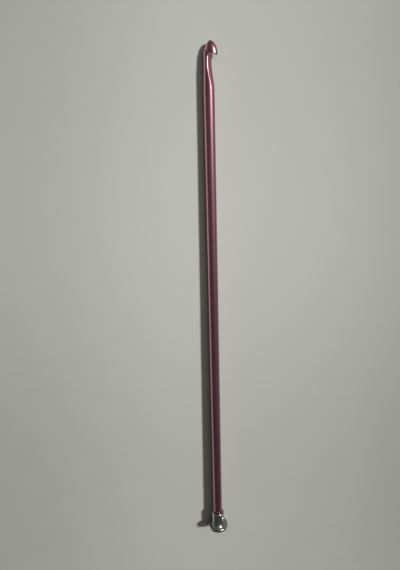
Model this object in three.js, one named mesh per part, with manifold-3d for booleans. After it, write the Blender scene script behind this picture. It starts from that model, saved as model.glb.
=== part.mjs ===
// Tunisian crochet hook: a long aluminium rod with an off-centre forged head and a flat-cut throat,
// and a turned metal stopper bonded on its tail. The hook lies as it does on a table.
// Millimetres. +Y runs along the rod towards the head, +Z is up, and the lip points to +X and up a little.

import * as THREE from 'three';
import { mergeVertices } from 'three/addons/utils/BufferGeometryUtils.js';
import Module from 'manifold-3d';

const wasm = await Module();
wasm.setup();

// The whole hook, from the tip of the head to the stopper's end face
const overallLength = 350;
const shaftDiameter = 6.5;

// How far the lip is turned up from the table as the hook lies, in degrees: three and a half facets of
// the rod, so that one of its flats faces straight down
const lipRaise = 26.25;

// The head: an egg that is wider than it is thick, set off the rod's axis to the lip's side
const headWidth = 7.6;
const headThickness = 6.5;
const headOffset = 1.8;
const noseLength = 7;
const noseFullness = 1.6;
const noseSideFullness = 3;
const noseLean = 0.35;
const heelLength = 4;

// The neck: the rod drawn thinner behind the head, with a dome where it runs up into the head
const neckDiameter = 5.6;
const neckDomeInset = 4.2;
const neckDomeLength = 5;
const neckTaperStart = 12;
const neckTaperEnd = 28;

// The throat: a flat floor cut across the neck, under a lip that hooks back, and a ramp out of it
const throatStart = 6.4;
const throatFloorHeight = 1;
const throatFloorLength = 6.6;
const lipAngle = 22;
const lipCornerRadius = 0.8;
const rampAngle = 11.5;
const rampBlendRadius = 30;

// The stopper: a collar over the rod's tail, and a disc that holds the loops on
const collarDiameter = 9.2;
const collarLength = 12;
const collarEdgeRadius = 0.5;
const discDiameter = 15;
const discThickness = 2.2;
const discRimRadius = 0.4;
const discRootRadius = 0.9;
const endWall = 1.6;
const boreClearance = 0.1;
const boreChamfer = 0.35;
const tailClearance = 0.3;
const tailChamfer = 0.5;

// Fineness of the facets
const sides = 48;
const noseSteps = 16;
const heelSteps = 8;
const domeSteps = 6;
const taperSteps = 10;
const arcSteps = 5;
const weldTolerance = 1e-5;

const shaftRadius = shaftDiameter / 2;
const neckRadius = neckDiameter / 2;
const collarRadius = collarDiameter / 2;
const discRadius = discDiameter / 2;
const tipY = overallLength / 2;
const stopperEndY = -overallLength / 2;
const rightAngle = Math.PI / 2;

function solidFrom(geometry) {
  const bare = geometry.clone();
  bare.deleteAttribute('normal');
  bare.deleteAttribute('uv');
  const welded = mergeVertices(bare, weldTolerance);
  const vertProperties = new Float32Array(welded.attributes.position.array);
  const triVerts = new Uint32Array(welded.index.array);
  return new wasm.Manifold(new wasm.Mesh({ numProp: 3, vertProperties, triVerts }));
}

function geometryFrom(solid) {
  const mesh = solid.getMesh();
  const geometry = new THREE.BufferGeometry();
  geometry.setAttribute('position', new THREE.BufferAttribute(mesh.vertProperties, mesh.numProp));
  geometry.setIndex(new THREE.BufferAttribute(mesh.triVerts, 1));
  geometry.computeVertexNormals();
  return geometry;
}

// Turned about Y from a start angle: 0 puts a corner of the round on +X, half a facet puts a flat there
function turned(profile, startAngle = 0) {
  return new THREE.LatheGeometry(profile, sides, startAngle, 2 * Math.PI);
}

function easeInOut(share) {
  return share * share * (3 - 2 * share);
}

// The rod without its head: chamfered tail, straight shaft, taper, neck and the dome inside the head
function rodSolid(tailY) {
  const profile = [new THREE.Vector2(0, tailY)];
  profile.push(new THREE.Vector2(shaftRadius - tailChamfer, tailY));
  profile.push(new THREE.Vector2(shaftRadius, tailY + tailChamfer));
  for (let step = 0; step <= taperSteps; step += 1) {
    const share = step / taperSteps;
    const y = tipY - THREE.MathUtils.lerp(neckTaperEnd, neckTaperStart, share);
    profile.push(new THREE.Vector2(THREE.MathUtils.lerp(shaftRadius, neckRadius, easeInOut(share)), y));
  }
  const domeBaseY = tipY - neckDomeInset - neckDomeLength;
  for (let step = 0; step < domeSteps; step += 1) {
    const angle = rightAngle * step / domeSteps;
    const y = domeBaseY + neckDomeLength * Math.sin(angle);
    profile.push(new THREE.Vector2(neckRadius * Math.cos(angle), y));
  }
  profile.push(new THREE.Vector2(0, domeBaseY + neckDomeLength));
  return solidFrom(turned(profile));
}

// The egg of the head: an elliptical heel, and a nose drawn to a tip, fuller through its thickness than
// across its width, which leans back towards the rod's axis
function headSolid() {
  const halfWidth = headWidth / 2;
  const widestY = tipY - noseLength;
  const profile = [new THREE.Vector2(0, widestY - heelLength)];
  for (let step = 1; step <= heelSteps; step += 1) {
    const angle = rightAngle * step / heelSteps;
    const y = widestY - heelLength * Math.cos(angle);
    profile.push(new THREE.Vector2(halfWidth * Math.sin(angle), y));
  }
  for (let step = 1; step < noseSteps; step += 1) {
    const along = Math.sin(rightAngle * step / noseSteps);
    const across = (1 - along ** 2) ** (1 / noseFullness);
    profile.push(new THREE.Vector2(halfWidth * across, widestY + noseLength * along));
  }
  profile.push(new THREE.Vector2(0, tipY));
  const egg = turned(profile);
  egg.scale(1, 1, headThickness / headWidth);
  egg.translate(headOffset, 0, 0);
  const points = egg.attributes.position;
  for (let index = 0; index < points.count; index += 1) {
    const alongNose = Math.max(0, points.getY(index) - widestY) / noseLength;
    const drawnIn = Math.max(weldTolerance, 1 - alongNose ** 2);
    points.setX(index, points.getX(index) - noseLean * alongNose ** 2);
    points.setZ(index, points.getZ(index) * drawnIn ** (1 / noseSideFullness - 1 / noseFullness));
  }
  return solidFrom(egg);
}

// What is cut away: the space under the lip, over the flat floor and out along the ramp
function throatSolid() {
  const lip = THREE.MathUtils.degToRad(lipAngle);
  const ramp = THREE.MathUtils.degToRad(rampAngle);
  const reach = headOffset + headWidth;
  const startY = tipY - throatStart;
  const cornerX = throatFloorHeight + lipCornerRadius;
  const cornerY = startY - lipCornerRadius * (Math.tan(lip) + 1 / Math.cos(lip));
  const floorEndY = startY - throatFloorLength;
  const blendX = throatFloorHeight + rampBlendRadius;
  const rampStartX = blendX - rampBlendRadius * Math.cos(ramp);
  const rampStartY = floorEndY - rampBlendRadius * Math.sin(ramp);
  const rampEndY = rampStartY - (reach - rampStartX) / Math.tan(ramp);

  const outline = new THREE.Shape();
  outline.moveTo(reach, rampEndY);
  outline.lineTo(reach, startY - (reach - throatFloorHeight) * Math.tan(lip));
  outline.absarc(cornerX, cornerY, lipCornerRadius, rightAngle - lip, Math.PI, false);
  outline.absarc(blendX, floorEndY, rampBlendRadius, Math.PI, Math.PI + ramp, false);
  outline.closePath();
  const depth = 2 * shaftDiameter;
  const cutter = new THREE.ExtrudeGeometry(outline, { depth, bevelEnabled: false, curveSegments: arcSteps });
  cutter.translate(0, 0, -depth / 2);
  return solidFrom(cutter);
}

function hookShaftGeometry() {
  const tailY = stopperEndY + endWall + tailClearance;
  const blank = rodSolid(tailY).add(headSolid());
  return geometryFrom(blank.subtract(throatSolid()));
}

// A turned cap: end face, rounded rim, hollow root, collar, rounded mouth and a blind bore
function endStopperGeometry() {
  const boreRadius = shaftRadius + boreClearance;
  const discFrontY = stopperEndY + discThickness;
  const mouthY = discFrontY + collarLength;
  const rimX = discRadius - discRimRadius;
  const rootX = collarRadius + discRootRadius;
  const edgeX = collarRadius - collarEdgeRadius;

  const outline = new THREE.Path();
  outline.moveTo(0, stopperEndY);
  outline.lineTo(rimX, stopperEndY);
  outline.absarc(rimX, stopperEndY + discRimRadius, discRimRadius, -rightAngle, 0, false);
  outline.absarc(rimX, discFrontY - discRimRadius, discRimRadius, 0, rightAngle, false);
  outline.absarc(rootX, discFrontY + discRootRadius, discRootRadius, -rightAngle, -Math.PI, true);
  outline.absarc(edgeX, mouthY - collarEdgeRadius, collarEdgeRadius, 0, rightAngle, false);
  outline.lineTo(boreRadius + boreChamfer, mouthY);
  outline.lineTo(boreRadius, mouthY - boreChamfer);
  outline.lineTo(boreRadius, stopperEndY + endWall);
  outline.lineTo(0, stopperEndY + endWall);
  return geometryFrom(solidFrom(turned(outline.getPoints(arcSteps), Math.PI / sides)));
}

// On a table the hook touches at two places: under the stopper's disc, and under the last of the full
// shaft before the taper. The disc is the larger, so the rod slopes down towards the head.
function restingTilt() {
  const discContactY = stopperEndY + discThickness - discRimRadius;
  const shaftContactY = tipY - neckTaperEnd;
  const flatShare = Math.cos(Math.PI / sides);
  return Math.atan2((discRadius - shaftRadius) * flatShare, shaftContactY - discContactY);
}

const roseAnodised = new THREE.MeshStandardMaterial({
  name: 'rose_anodised_aluminium',
  color: 0xcb7c97,
  metalness: 1,
  roughness: 0.35,
});
const platedMetal = new THREE.MeshStandardMaterial({
  name: 'plated_metal',
  color: 0xc6c8c3,
  metalness: 1,
  roughness: 0.15,
});

const hookShaft = new THREE.Mesh(hookShaftGeometry(), roseAnodised);
hookShaft.name = 'hook_shaft';
hookShaft.rotation.y = -THREE.MathUtils.degToRad(lipRaise);

const endStopper = new THREE.Mesh(endStopperGeometry(), platedMetal);
endStopper.name = 'end_stopper';

const crochetHook = new THREE.Group();
crochetHook.name = 'tunisian_crochet_hook';
crochetHook.add(hookShaft, endStopper);
crochetHook.rotation.x = -restingTilt();

// The origin is on the table, under the middle of the hook's box
const bounds = new THREE.Box3().setFromObject(crochetHook, true);
const middle = bounds.getCenter(new THREE.Vector3());
crochetHook.position.set(-middle.x, -middle.y, -bounds.min.z);

export default crochetHook;
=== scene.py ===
import math
import bmesh
import bpy
from mathutils import Matrix, Vector


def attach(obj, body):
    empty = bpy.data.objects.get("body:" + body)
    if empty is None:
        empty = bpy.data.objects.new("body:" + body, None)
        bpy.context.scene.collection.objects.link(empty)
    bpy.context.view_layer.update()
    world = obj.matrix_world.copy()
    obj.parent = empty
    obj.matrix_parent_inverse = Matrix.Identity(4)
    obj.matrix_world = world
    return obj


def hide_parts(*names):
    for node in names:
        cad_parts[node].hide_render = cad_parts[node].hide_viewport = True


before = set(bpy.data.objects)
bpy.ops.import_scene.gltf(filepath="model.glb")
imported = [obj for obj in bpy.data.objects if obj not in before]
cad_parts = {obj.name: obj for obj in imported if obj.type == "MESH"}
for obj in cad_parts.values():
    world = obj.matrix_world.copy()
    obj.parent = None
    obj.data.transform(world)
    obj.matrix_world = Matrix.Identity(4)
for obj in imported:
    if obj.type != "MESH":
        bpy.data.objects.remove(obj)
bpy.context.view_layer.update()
print("frame loaded:", ", ".join(sorted(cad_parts)))

# How the hook lies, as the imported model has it: lip turned up, rod sloping down to the head
hookPlace = {
    "lipRaise": 26.25,                  # degrees, about the rod's axis
    "restTilt": 0.75881,                # degrees, head end down
    "middle": (0.0, 0.0427, 5.1982),    # mm, the middle of the rod's axis
    "trueRound": 0.9999 * math.cos(math.pi / 48),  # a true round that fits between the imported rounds' 48 flats
}
restTurn = Matrix.Rotation(-math.radians(hookPlace["restTilt"]), 4, "X")
toFrame = Matrix.Scale(0.001, 4) @ Matrix.Translation(hookPlace["middle"]) @ restTurn


# One socket of a node tree, used like a number in an expression
class Wire:
    def __init__(self, socket):
        self.socket = socket

    def maths(self, operation, *values):
        return addNode(self.socket.id_data, "ShaderNodeMath", {"operation": operation}, dict(enumerate(values)))

    def __add__(self, other):
        return self.maths("ADD", self, other)

    __radd__ = __add__

    def __mul__(self, other):
        return self.maths("MULTIPLY", self, other)

    __rmul__ = __mul__

    def __sub__(self, other):
        return self.maths("SUBTRACT", self, other)

    def __rsub__(self, other):
        return self.maths("SUBTRACT", other, self)

    def __truediv__(self, other):
        return self.maths("DIVIDE", self, other)

    def __pow__(self, other):
        return self.maths("POWER", self, other)


# Any node: its type, its settings, then the values or links of its sockets; gives back one output
def addNode(tree, kind, settings, sockets, output=0):
    node = tree.nodes.new(kind)
    for name, value in settings.items():
        setattr(node, name, value)
    for name, value in sockets.items():
        if isinstance(value, Wire):
            tree.links.new(value.socket, node.inputs[name])
        else:
            node.inputs[name].default_value = value
    return Wire(node.outputs[output]) if node.outputs else None


def newFinish(name):
    finish = bpy.data.materials.new(name)
    finish.use_nodes = True
    finish.node_tree.nodes.clear()
    return finish, finish.node_tree


def closeFinish(tree, shader):
    addNode(tree, "ShaderNodeOutputMaterial", {}, {"Surface": shader})


def mixColours(tree, share, first, second):
    settings = {"data_type": "RGBA", "blend_type": "MIX"}
    return addNode(tree, "ShaderNodeMix", settings, {0: share, 6: first, 7: second}, 2)


# Object coordinates turned so that Y runs along the rod, stretched by a scale on each axis
def alongRod(tree, scale):
    coords = addNode(tree, "ShaderNodeTexCoord", {}, {}, "Object")
    turn = (math.radians(hookPlace["restTilt"]), 0, 0)
    level = addNode(tree, "ShaderNodeMapping", {}, {"Vector": coords, "Rotation": turn})
    return addNode(tree, "ShaderNodeMapping", {}, {"Vector": level, "Scale": scale})


def noise(tree, place, scale, detail=2.0, roughness=0.5):
    sockets = {"Vector": place, "Scale": scale, "Detail": detail, "Roughness": roughness}
    return addNode(tree, "ShaderNodeTexNoise", {"noise_dimensions": "3D"}, sockets)


def smoothBand(tree, value, low, high):
    settings = {"interpolation_type": "SMOOTHSTEP"}
    return addNode(tree, "ShaderNodeMapRange", settings, {"Value": value, "From Min": low, "From Max": high})


# The picture: where the camera stands over the head's end and looks back along the hook
photoCamera = {
    "place": (-0.0093925, 0.1283654, 0.2949759),
    "turn": (-18.896, -0.688, -1.645),
    "lens": 460 / 570 * 36,   # 460 pixels of focal length in a picture 570 high
    "clip": (0.005, 50),
}
cameraData = bpy.data.cameras.new("photoCamera")
cameraData.lens = photoCamera["lens"]
cameraData.clip_start, cameraData.clip_end = photoCamera["clip"]
camera = bpy.data.objects.new("photoCamera", cameraData)
camera.location = photoCamera["place"]
camera.rotation_euler = [math.radians(angle) for angle in photoCamera["turn"]]
bpy.context.scene.collection.objects.link(camera)
bpy.context.scene.camera = camera
bpy.context.scene.view_settings.view_transform = "Standard"

# One soft round lamp, high on the right past the head, its glow on the wall behind it, a wide weak fill,
# and a dim room. The metal mirrors only a part of the lamp, so that its highlights keep their colour.
studio = {
    "lampAimedAt": (0, 0.17, 0),   # the head
    "lampToward": (0.94, 0.5, 1.0),
    "lampDistance": 4.0,
    "lampWidth": 0.42,
    "lampPower": 212.0,
    "lampColour": (1.0, 1.0, 0.985),
    "lampShine": 0.68,       # the share of the lamp that the metal mirrors
    "glow": 0.06,
    "glowTightness": 2.5,
    "fillPlace": (0.9, 1.2, 2.6),
    "fillWidth": 1.6,
    "fillPower": 9.5,
    "fillColour": (1.0, 0.88, 0.85),
    "roomOverhead": 0.1,
    "roomBehind": 0.045,
    "roomBand": (-0.9, 0.1),   # the room brightens between these two, from behind the stopper to the head
}
headSpot = Vector(studio["lampAimedAt"])
lampWay = Vector(studio["lampToward"]).normalized()


# A round lamp that faces a spot; one that is not mirrored lights matt surfaces only
def roundLamp(name, place, aimedAt, width, power, colour, mirrored):
    lampData = bpy.data.lights.new(name, "AREA")
    lampData.shape = "DISK"
    lampData.size = width
    lampData.energy = power
    lampData.color = colour
    lamp = bpy.data.objects.new(name, lampData)
    lamp.location = place
    lamp.rotation_euler = (place - aimedAt).to_track_quat("Z", "Y").to_euler()
    lamp.visible_camera = False
    lamp.visible_glossy = mirrored
    bpy.context.scene.collection.objects.link(lamp)


lampPlace = headSpot + lampWay * studio["lampDistance"]
lampShares = {"softbox": (studio["lampShine"], True), "softboxMatt": (1 - studio["lampShine"], False)}
for name, (share, mirrored) in lampShares.items():
    roundLamp(name, lampPlace, headSpot, studio["lampWidth"], studio["lampPower"] * share,
              studio["lampColour"], mirrored)
roundLamp("broadFill", Vector(studio["fillPlace"]), Vector(), studio["fillWidth"], studio["fillPower"],
          studio["fillColour"], False)

room = bpy.data.worlds.new("dimRoom")
room.use_nodes = True
room.node_tree.nodes.clear()
bpy.context.scene.world = room
roomWay = addNode(room.node_tree, "ShaderNodeTexCoord", {}, {}, "Generated")
roomAlong = addNode(room.node_tree, "ShaderNodeSeparateXYZ", {}, {"Vector": roomWay}, "Y")
roomShare = smoothBand(room.node_tree, roomAlong, *studio["roomBand"])
towardLamp = addNode(room.node_tree, "ShaderNodeVectorMath", {"operation": "DOT_PRODUCT"},
                     {0: roomWay, 1: lampWay}, "Value")
glow = towardLamp.maths("MAXIMUM", towardLamp, 0) ** studio["glowTightness"]
roomLevel = (roomShare * (studio["roomOverhead"] - studio["roomBehind"]) + studio["roomBehind"]
             + glow * studio["glow"])
roomGlow = addNode(room.node_tree, "ShaderNodeBackground", {}, {"Color": (1, 1, 1, 1), "Strength": roomLevel})
addNode(room.node_tree, "ShaderNodeOutputWorld", {}, {"Surface": roomGlow})
print("camera, lamp and room set")

# The table top: matt pale grey board, with painted shade where the light falls off to the left and towards the
# stopper
tableTop = {
    "width": 6.0,
    "colour": (0.545, 0.552, 0.522, 1),
    # the colour of the painted shade
    "shade": (0.0, 0.0, 0.0, 1),
    "paintedLightCentre": (0.04, 0.163),
    "sideFall": 168.0,
    "endFall": 42.0,
    "fallLimit": 2.2,            # the larger, the sooner the painted shade stops deepening
    "shadeReach": (0.24, 0.8),   # beyond the second distance the board is plain again, without painted shade
    "mottle": 0.03,
    "mottleScale": 45.0,
    "grainScale": 2600.0,
    "grainDepth": 0.00004,
    "roughness": 0.8,
    "specular": 0.2,
    "diffuseRoughness": 1.0,
}


def tableBoard(values):
    finish, tree = newFinish("paleTableBoard")
    coords = addNode(tree, "ShaderNodeTexCoord", {}, {}, "Object")
    across = addNode(tree, "ShaderNodeSeparateXYZ", {}, {"Vector": coords}, "X")
    along = addNode(tree, "ShaderNodeSeparateXYZ", {}, {"Vector": coords}, "Y")
    # painted shade: it deepens to the sides a little faster towards the head, where the light falls off
    side = (across - values["paintedLightCentre"][0]) * (along.maths("MINIMUM", along, 1) + 1)
    side = side.maths("ABSOLUTE", side) ** 3 * values["sideFall"]
    end = along - values["paintedLightCentre"][1]
    end = end.maths("ABSOLUTE", end) ** 3 * values["endFall"]
    limit = values["fallLimit"]
    paintedShade = 1 - (1 - side / (side * limit + 1)) * (1 - end / (end * limit + 1))
    away = addNode(tree, "ShaderNodeVectorMath", {"operation": "LENGTH"}, {0: coords}, "Value")
    paintedShade = paintedShade * (1 - smoothBand(tree, away, *values["shadeReach"]))
    mottle = noise(tree, coords, values["mottleScale"], 4.0, 0.6)
    grain = noise(tree, coords, values["grainScale"], 2.0, 0.6)
    share = paintedShade + mottle * values["mottle"] - values["mottle"] / 2
    # the board's colour is darkened towards black by the painted shade, with a random mottle
    colour = mixColours(tree, share, values["colour"], values["shade"])
    bump = addNode(tree, "ShaderNodeBump", {},
                   {"Height": grain, "Strength": 0.25, "Distance": values["grainDepth"]})
    sockets = {"Base Color": colour, "Roughness": mottle * 0.1 + values["roughness"], "Normal": bump,
               "Specular IOR Level": values["specular"], "Diffuse Roughness": values["diffuseRoughness"]}
    closeFinish(tree, addNode(tree, "ShaderNodeBsdfPrincipled", {}, sockets))
    return finish


boardMesh = bmesh.new()
bmesh.ops.create_grid(boardMesh, x_segments=8, y_segments=8, size=tableTop["width"] / 2)
boardData = bpy.data.meshes.new("tableBoard")
boardMesh.to_mesh(boardData)
boardMesh.free()
board = bpy.data.objects.new("tableBoard", boardData)
boardData.materials.append(tableBoard(tableTop))
bpy.context.scene.collection.objects.link(board)
print("table laid")


# A profile of (radius, place along Y) spun into a closed round
def spunRound(profile, steps):
    work = bmesh.new()
    verts = [work.verts.new((radius, along, 0)) for radius, along in profile]
    edges = [work.edges.new(pair) for pair in zip(verts, verts[1:])]
    bmesh.ops.spin(work, geom=verts + edges, cent=(0, 0, 0), axis=(0, 1, 0), dvec=(0, 0, 0),
                   angle=2 * math.pi, steps=steps, use_merge=True, use_normal_flip=False, use_duplicate=False)
    bmesh.ops.remove_doubles(work, verts=work.verts, dist=1e-4)
    bmesh.ops.recalc_face_normals(work, faces=work.faces)
    return work


def toObject(name, work):
    data = bpy.data.meshes.new(name)
    work.to_mesh(data)
    work.free()
    made = bpy.data.objects.new(name, data)
    bpy.context.scene.collection.objects.link(made)
    return made


# The object with its modifiers worked out, as a bmesh; the helpers named are cleared away
def worked(subject, *helpers):
    result = bmesh.new()
    result.from_object(subject, bpy.context.evaluated_depsgraph_get())
    for used in (subject, *helpers):
        data = used.data
        bpy.data.objects.remove(used)
        bpy.data.meshes.remove(data)
    return result


# The rod: drawn aluminium with a neck, an off-centre head, and a throat cut flat under the lip (mm)
hookRod = {
    "length": 350.0,
    "diameter": 6.5,
    "headWidth": 7.6,
    "headThickness": 6.1,
    "headOffset": 1.8,
    "noseLength": 7.0,
    "noseFullness": 1.6,
    "noseSideFullness": 2.8,
    "noseBackFullness": 1.9,
    "noseLean": 0.35,
    "heelLength": 4.0,
    "neckDiameter": 5.6,
    "neckThickness": 6.5,
    "neckUnderside": 6.15,   # the same on the side that faces the table
    "spreadStart": 7.0,      # from here back, the pressed neck spreads across the throat
    "spreadEnd": 15.0,
    "neckDomeInset": 2.4,
    "neckDomeLength": 5.0,
    "taperStart": 12.0,
    "taperEnd": 28.0,
    "throatStart": 6.4,
    "floorHeight": 1.0,
    "floorLength": 6.6,
    "shoulderRadius": 1.1,   # the floor's long edges are well rounded under the lip, for the yarn
    "shoulderEndRadius": 0.15,
    "shoulderEnd": 17.5,
    "lipAngle": 22.0,
    "lipCorner": 0.8,
    "rampAngle": 11.5,
    "rampBlend": 30.0,
    "tailInset": 1.9,        # the tail stops this far short of the stopper's end face
    "tailChamfer": 0.5,
    "headCut": 32.0,         # the finely meshed head ends here, and the plain rod goes on
    "spareShaft": 3.0,       # the head is spun this far past the cut, and is plain this far before it
    "seamGap": 1.0,          # between the fine mesh and the first ring of the plain rod
    "voxel": 0.115,
    "softening": 12,         # rounds of smoothing that ease the cut edges
    "softStart": 1.0,        # the first round starts this far from the cut, and each next one further on
    "softStride": 0.35,
    "cutterSlices": (0.1, 34, 0.5, 43),   # spacing and number across, spacing and number along
    "bedStart": 0.3,         # the floor bends down from this far behind the lip's corner
    "bedRun": 1.6,
    "bedSlack": 0.02,        # the cutter stays this far outside the neck's sides
    "wearFrom": 0.22,        # how much a point stands out, per mm, where the wear starts
    "wearRange": 0.75,
    "wearSpread": 3,
    "roundSteps": 144,
    "profileSteps": 24,
    "noseSteps": 48,
    "shaftStep": 8.0,
}


def eased(share):
    share = min(1, max(0, share))
    return share * share * (3 - 2 * share)


# How far the rod is drawn down to its neck at a distance from the tip, 0 to 1
def thinned(values, fromTip):
    return eased((values["taperEnd"] - fromTip) / (values["taperEnd"] - values["taperStart"]))


# The rod's radius at a distance from the tip: shaft, taper, neck
def rodRadius(values, fromTip):
    drop = (values["neckDiameter"] - values["diameter"]) * thinned(values, fromTip)
    return (values["diameter"] + drop) / 2


# How much the pressed neck spreads across the throat, where it is as thick as the shaft
def neckSpread(values, fromTip, side):
    spread = eased((fromTip - values["spreadStart"]) / (values["spreadEnd"] - values["spreadStart"]))
    thickness = values["neckThickness"] if side > 0 else values["neckUnderside"]
    return 1 + (thickness / values["neckDiameter"] - 1) * thinned(values, fromTip) * spread


def rodProfile(values, endAt):
    tip = values["length"] / 2
    neck = values["neckDiameter"] / 2
    steps = values["profileSteps"]
    profile = [(0, endAt), (values["diameter"] / 2, endAt)]
    for step in range(steps + 1):
        fromTip = values["taperEnd"] + (values["taperStart"] - values["taperEnd"]) * step / steps
        profile.append((rodRadius(values, fromTip), tip - fromTip))
    domeBase = tip - values["neckDomeInset"] - values["neckDomeLength"]
    for step in range(steps + 1):
        angle = math.pi / 2 * step / steps
        radius = neck * math.cos(angle) if step < steps else 0
        profile.append((radius, domeBase + values["neckDomeLength"] * math.sin(angle)))
    return profile


# The head: an egg wider than it is thick, off the rod's axis, whose nose leans back and is full at its sides
def headEgg(values):
    tip = values["length"] / 2
    half = values["headWidth"] / 2
    widest = tip - values["noseLength"]
    profile = []
    for step in range(values["profileSteps"] + 1):
        angle = math.pi / 2 * step / values["profileSteps"]
        profile.append((half * math.sin(angle), widest - values["heelLength"] * math.cos(angle)))
    for step in range(1, values["noseSteps"] + 1):
        along = math.sin(math.pi / 2 * step / values["noseSteps"])
        across = (1 - along ** 2) ** (1 / values["noseFullness"]) if step < values["noseSteps"] else 0
        profile.append((half * across, widest + values["noseLength"] * along))
    egg = spunRound(profile, values["roundSteps"])
    bmesh.ops.scale(egg, vec=(1, 1, values["headThickness"] / values["headWidth"]), verts=egg.verts)
    bmesh.ops.translate(egg, vec=(values["headOffset"], 0, 0), verts=egg.verts)
    for vert in egg.verts:
        nose = max(0, vert.co.y - widest) / values["noseLength"]
        drawnIn = max(1e-5, 1 - nose ** 2)
        vert.co.x -= values["noseLean"] * nose ** 2
        vert.co.z *= drawnIn ** (1 / values["noseSideFullness"] - 1 / values["noseFullness"])
        middle = values["headOffset"] - values["noseLean"] * nose ** 2
        if vert.co.x < middle:
            back = drawnIn ** (1 / values["noseBackFullness"] - 1 / values["noseFullness"])
            vert.co.x = middle + (vert.co.x - middle) * back
    return egg


# How high the throat's floor lies at a distance across: flat, then round into the rod's side
def shoulderHeight(values, floor, fromTip, across):
    radius = rodRadius(values, fromTip)
    fade = eased((values["shoulderEnd"] - fromTip) / (values["shoulderEnd"] - values["taperStart"]))
    rounding = values["shoulderEndRadius"] + (values["shoulderRadius"] - values["shoulderEndRadius"]) * fade
    side = math.sqrt(max(0, (radius - rounding) ** 2 - (floor - rounding) ** 2))
    if across <= side:
        return floor
    if across < min(side * radius / (radius - rounding), side + rounding):
        return floor - rounding + math.sqrt(rounding ** 2 - (across - side) ** 2)
    return math.sqrt(max(0, (radius + values["bedSlack"]) ** 2 - across ** 2))


# What is cut away to make the throat: four corners pushed out to a prism, its two inner edges rounded,
# its floor bent down along both sides
def throatCutter(values):
    tip = values["length"] / 2
    lip = math.radians(values["lipAngle"])
    ramp = math.radians(values["rampAngle"])
    floor = values["floorHeight"]
    reach = values["headOffset"] + values["headWidth"]
    lipY = tip - values["throatStart"]
    rampRun = values["rampBlend"] * math.tan(ramp / 2)
    rampY = lipY - values["floorLength"] - rampRun
    corners = [
        (reach, lipY - (reach - floor) * math.tan(lip)),
        (floor, lipY),
        (floor, rampY),
        (reach, rampY - (reach - floor) / math.tan(ramp)),
    ]
    work = bmesh.new()
    side = work.faces.new([work.verts.new((x, y, -values["diameter"])) for x, y in corners])
    pushed = bmesh.ops.extrude_face_region(work, geom=[side])["geom"]
    moved = [item for item in pushed if isinstance(item, bmesh.types.BMVert)]
    bmesh.ops.translate(work, vec=(0, 0, 2 * values["diameter"]), verts=moved)
    rounds = [(lipY, values["lipCorner"] * math.tan(math.pi / 4 + lip / 2), 10), (rampY, rampRun, 24)]
    for along, offset, segments in rounds:
        edges = [edge for edge in work.edges
                 if all(abs(vert.co.y - along) < 1e-4 and abs(vert.co.x - floor) < 1e-4
                        for vert in edge.verts)]
        bmesh.ops.bevel(work, geom=edges, offset=offset, offset_type="OFFSET", segments=segments, profile=0.5,
                        affect="EDGES", clamp_overlap=False, material=-1)
    acrossStep, acrossCount, alongStep, alongCount = values["cutterSlices"]
    slices = [((0, 0, step * acrossStep), (0, 0, 1)) for step in range(-acrossCount, acrossCount + 1)]
    slices += [((0, lipY - step * alongStep, 0), (0, 1, 0)) for step in range(1, alongCount + 1)]
    for spot, way in slices:
        geom = work.verts[:] + work.edges[:] + work.faces[:]
        bmesh.ops.bisect_plane(work, geom=geom, plane_co=spot, plane_no=way, dist=1e-4)
    bmesh.ops.recalc_face_normals(work, faces=work.faces)
    bed = {vert for face in work.faces if face.normal.x < -0.5 for vert in face.verts}
    for vert in bed:
        fromTip = tip - vert.co.y
        across = abs(vert.co.z) / neckSpread(values, fromTip, vert.co.z)
        drop = vert.co.x - shoulderHeight(values, vert.co.x, fromTip, across)
        vert.co.x -= drop * eased((lipY - vert.co.y - values["bedStart"]) / values["bedRun"])
    bmesh.ops.triangulate(work, faces=work.faces)
    return work


# How sharply each point stands out, 0 to 1, for the wear on the lip, the nose and the throat's edges
def markWear(work, values):
    layer = work.verts.layers.float.new("edgeWear")
    work.normal_update()
    raw = {}
    for vert in work.verts:
        ring = [edge.other_vert(vert).co for edge in vert.link_edges]
        middle = sum(ring, Vector()) / len(ring)
        spacing = sum((point - vert.co).length for point in ring) / len(ring)
        raw[vert] = (vert.co - middle).dot(vert.normal) / spacing ** 2
    for turn in range(values["wearSpread"]):
        raw = {vert: (raw[vert] + sum(raw[edge.other_vert(vert)] for edge in vert.link_edges)
                      / len(vert.link_edges)) / 2 for vert in work.verts}
    for vert, value in raw.items():
        vert[layer] = min(1, max(0, (value - values["wearFrom"]) / values["wearRange"]))


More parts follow.
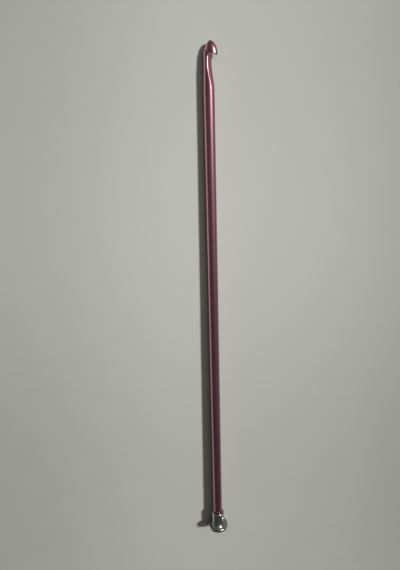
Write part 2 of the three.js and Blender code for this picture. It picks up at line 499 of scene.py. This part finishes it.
# The rod whole: the head joined and cut, meshed evenly and eased, then the plain rod drawn out to the tail
def buildRod(values):
    tip = values["length"] / 2
    cutY = tip - values["headCut"]
    radius = values["diameter"] / 2
    shaft = spunRound(rodProfile(values, cutY - values["spareShaft"]), values["roundSteps"])
    for vert in shaft.verts:
        vert.co.z *= neckSpread(values, tip - vert.co.y, vert.co.z)
    solid = toObject("headSolid", shaft)
    egg = toObject("headEgg", headEgg(values))
    cutter = toObject("throatCutter", throatCutter(values))
    for helper, operation in ((egg, "UNION"), (cutter, "DIFFERENCE")):
        step = solid.modifiers.new(operation.lower(), "BOOLEAN")
        step.solver = "EXACT"
        step.operation = operation
        step.object = helper
    sharp = worked(solid, egg, cutter)
    blank = toObject("headBlank", sharp.copy())
    target = toObject("headTarget", sharp)
    remesh = blank.modifiers.new("evenSkin", "REMESH")
    remesh.mode = "VOXEL"
    remesh.voxel_size = values["voxel"]
    wrap = blank.modifiers.new("backOntoForm", "SHRINKWRAP")
    wrap.wrap_method = "NEAREST_SURFACEPOINT"
    wrap.target = target
    work = worked(blank, target)
    for step in range(values["softening"]):  # the smoothing fades out before the plain rod
        reach = cutY + values["softStart"] + step * values["softStride"]
        soft = [vert for vert in work.verts if vert.co.y > reach]
        bmesh.ops.smooth_vert(work, verts=soft, factor=0.5, use_axis_x=True, use_axis_y=True,
                              use_axis_z=True)
    markWear(work, values)
    geom = work.verts[:] + work.edges[:] + work.faces[:]
    bmesh.ops.bisect_plane(work, geom=geom, plane_co=(0, cutY, 0), plane_no=(0, 1, 0), dist=0.03,
                           clear_inner=True)
    rim = [edge for edge in work.edges if edge.is_boundary]
    rimVerts = {vert for edge in rim for vert in edge.verts}
    for vert in work.verts:  # back onto the true round where the rod is plain
        if vert.co.y < cutY + values["spareShaft"]:
            out = Vector((vert.co.x, 0, vert.co.z)).normalized() * radius
            vert.co = (out.x, cutY if vert in rimVerts else vert.co.y, out.z)
    ringY = cutY - values["seamGap"]
    turned = Matrix.Translation((0, ringY, 0)) @ Matrix.Rotation(math.pi / 2, 4, "X")
    circle = bmesh.ops.create_circle(work, segments=values["roundSteps"], radius=radius,
                                     matrix=turned)["verts"]
    ring = list({edge for vert in circle for edge in vert.link_edges})
    bmesh.ops.bridge_loops(work, edges=rim + ring)
    tailY = -tip + values["tailInset"] + values["tailChamfer"]
    lengths = max(1, round((ringY - tailY) / values["shaftStep"]))
    stride = (ringY - tailY) / lengths
    for step in range(lengths + 1):
        pushed = bmesh.ops.extrude_edge_only(work, edges=ring)["geom"]
        verts = [item for item in pushed if isinstance(item, bmesh.types.BMVert)]
        ring = [item for item in pushed if isinstance(item, bmesh.types.BMEdge)]
        if step < lengths:
            bmesh.ops.translate(work, vec=(0, -stride, 0), verts=verts)
        else:  # the chamfer at the tail
            share = 1 - values["tailChamfer"] / radius
            bmesh.ops.scale(work, vec=(share, 1, share), verts=verts)
            bmesh.ops.translate(work, vec=(0, -values["tailChamfer"], 0), verts=verts)
    bmesh.ops.edgeloop_fill(work, edges=ring)
    bmesh.ops.recalc_face_normals(work, faces=work.faces)
    return work


# Turned about its axis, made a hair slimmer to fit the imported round, and laid down in the frame's metres
def placeOnTable(work, turn, name):
    slim = hookPlace["trueRound"]
    rolled = Matrix.Rotation(-math.radians(turn), 4, "Y")
    work.transform(toFrame @ rolled @ Matrix.Diagonal((slim, 1, slim, 1)))
    for face in work.faces:
        face.smooth = True
    made = toObject(name, work)
    print(name, "made:", len(made.data.polygons), "faces")
    return made


# Rose anodised aluminium: dye a little uneven, drawn lengthwise, rubbed paler where yarn and fingers run
roseFinish = {
    "dye": (0.49, 0.13, 0.22, 1),
    "dyeDeep": (0.43, 0.095, 0.175, 1),
    "dyePale": (0.66, 0.38, 0.46, 1),
    "roughness": 0.31,
    "coat": 1.0,
    "coatRoughness": 0.36,
    "coatIor": 2.1,
    "cloudScale": 170.0,
    "drawScale": 5200.0,     # the fine lines that drawing the rod leaves along it
    "broadScale": 900.0,
    "speckScale": 1500.0,
    "bumpDepth": 0.000006,
}


def roseAnodised(values):
    finish, tree = newFinish("roseAnodisedAluminium")
    cloud = noise(tree, alongRod(tree, (1, 0.18, 1)), values["cloudScale"], 3.0, 0.55)
    draw = noise(tree, alongRod(tree, (1, 0.006, 1)), values["drawScale"], 3.0, 0.6)
    broad = noise(tree, alongRod(tree, (1, 0.02, 1)), values["broadScale"], 2.0, 0.5)
    specks = noise(tree, alongRod(tree, (1, 1, 1)), values["speckScale"], 2.0, 0.5)
    wear = addNode(tree, "ShaderNodeAttribute", {"attribute_name": "edgeWear"}, {}, "Fac")
    rubbed = wear * (0.35 + specks * 0.5)
    tone = smoothBand(tree, cloud * 0.7 + broad * 0.3, 0.35, 0.68)
    dyed = mixColours(tree, tone, values["dyeDeep"], values["dye"])
    colour = mixColours(tree, rubbed, dyed, values["dyePale"])
    roughness = values["roughness"] - 0.045 + draw * 0.06 + cloud * 0.03 - wear * 0.05
    height = draw * 0.7 + broad * 0.2 + specks * 0.1
    bump = addNode(tree, "ShaderNodeBump", {},
                   {"Height": height, "Strength": 0.35, "Distance": values["bumpDepth"]})
    sockets = {"Base Color": colour, "Metallic": 1.0, "Roughness": roughness, "Normal": bump,
               "Coat Weight": values["coat"], "Coat Roughness": values["coatRoughness"],
               "Coat IOR": values["coatIor"]}
    closeFinish(tree, addNode(tree, "ShaderNodeBsdfPrincipled", {}, sockets))
    return finish


rod = placeOnTable(buildRod(hookRod), hookPlace["lipRaise"], "hookRod")
rod.data.materials.append(roseAnodised(roseFinish))
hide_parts("hook_shaft")
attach(rod, "root")

# The stopper: a turned cap with a collar over the rod's tail and a disc that holds the loops on (mm)
endStopper = {
    "end": -175.0,
    "discDiameter": 15.0,
    "discThickness": 2.2,
    "rimRadius": 0.4,
    "rootRadius": 0.9,
    "collarDiameter": 9.2,
    "collarLength": 12.0,
    "mouthRadius": 0.5,
    "boreDiameter": 6.7,
    "boreChamfer": 0.35,
    "endWall": 1.6,
    "crimpBehindMouth": 4.3,   # a punched dimple that locks the collar on the rod
    "crimpAround": 52.0,       # degrees from the top towards the lip's side
    "crimpRadius": 1.5,
    "crimpDepth": 1.05,
    "crimpCurve": 1.25,        # the larger, the sooner the dimple flattens out at its edge
    "crimpSlices": 8,
    "roundSteps": 160,
}


def buildStopper(values):
    end = values["end"]
    disc = values["discDiameter"] / 2
    collar = values["collarDiameter"] / 2
    bore = values["boreDiameter"] / 2
    front = end + values["discThickness"]
    mouth = front + values["collarLength"]
    profile = [(0, end), (disc, end), (disc, front), (collar, front), (collar, mouth), (bore, mouth),
               (bore, end + values["endWall"]), (0, end + values["endWall"])]
    work = spunRound(profile, values["roundSteps"])
    rounds = [
        (disc, end, values["rimRadius"], 10),
        (disc, front, values["rimRadius"], 10),
        (collar, front, values["rootRadius"], 10),
        (collar, mouth, values["mouthRadius"], 8),
        (bore, mouth, values["boreChamfer"], 3),
    ]
    for radius, along, offset, segments in rounds:
        edges = [edge for edge in work.edges
                 if all(abs(vert.co.y - along) < 1e-4 and abs(math.hypot(vert.co.x, vert.co.z) - radius) < 1e-3
                        for vert in edge.verts)]
        bmesh.ops.bevel(work, geom=edges, offset=offset, offset_type="OFFSET", segments=segments, profile=0.5,
                        affect="EDGES", clamp_overlap=False, material=-1)
    crimpY = mouth - values["crimpBehindMouth"]
    slices = values["crimpSlices"]
    for step in range(-slices - 1, slices + 2):
        spot = (0, crimpY + step * values["crimpRadius"] / slices, 0)
        geom = work.verts[:] + work.edges[:] + work.faces[:]
        bmesh.ops.bisect_plane(work, geom=geom, plane_co=spot, plane_no=(0, 1, 0), dist=1e-4)
    around = math.radians(values["crimpAround"])
    punch = Vector((math.sin(around), 0, math.cos(around)))
    centre = punch * collar + Vector((0, crimpY, 0))
    for vert in work.verts:
        near = (vert.co - centre).length / values["crimpRadius"]
        if near < 1 and math.hypot(vert.co.x, vert.co.z) > collar - 0.01:
            vert.co -= punch * values["crimpDepth"] * (1 - near ** 2) ** values["crimpCurve"]
    bmesh.ops.recalc_face_normals(work, faces=work.faces)
    return work


# Bright plating: turning lines round the axis under the polish, fine scratches, a faint cloudy tarnish
platingFinish = {
    "bright": (0.58, 0.60, 0.56, 1),
    "dulled": (0.46, 0.47, 0.43, 1),
    "roughness": 0.24,
    "cloudScale": 320.0,
    "turningScale": 5200.0,
    "scratchScale": 3600.0,
    "bumpDepth": 0.000004,
}


def brightPlating(values):
    finish, tree = newFinish("brightPlating")
    cloud = noise(tree, alongRod(tree, (1, 1, 1)), values["cloudScale"], 4.0, 0.6)
    turning = noise(tree, alongRod(tree, (0.03, 1, 0.03)), values["turningScale"], 2.0, 0.6)
    scratch = noise(tree, alongRod(tree, (1, 0.15, 0.6)), values["scratchScale"], 3.0, 0.7)
    tone = smoothBand(tree, cloud, 0.4, 0.75)
    colour = mixColours(tree, tone, values["bright"], values["dulled"])
    lines = smoothBand(tree, scratch, 0.62, 0.7)
    roughness = values["roughness"] + cloud * 0.08 + lines * 0.06 - 0.03
    height = turning * 0.7 + lines * -0.3
    bump = addNode(tree, "ShaderNodeBump", {},
                   {"Height": height, "Strength": 0.3, "Distance": values["bumpDepth"]})
    sockets = {"Base Color": colour, "Metallic": 1.0, "Roughness": roughness, "Normal": bump}
    closeFinish(tree, addNode(tree, "ShaderNodeBsdfPrincipled", {}, sockets))
    return finish


stopper = placeOnTable(buildStopper(endStopper), 0, "endStopper")
stopper.data.materials.append(brightPlating(platingFinish))
weighted = stopper.modifiers.new("flatFaces", "WEIGHTED_NORMAL")
weighted.keep_sharp = False
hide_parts("end_stopper")
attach(stopper, "root")
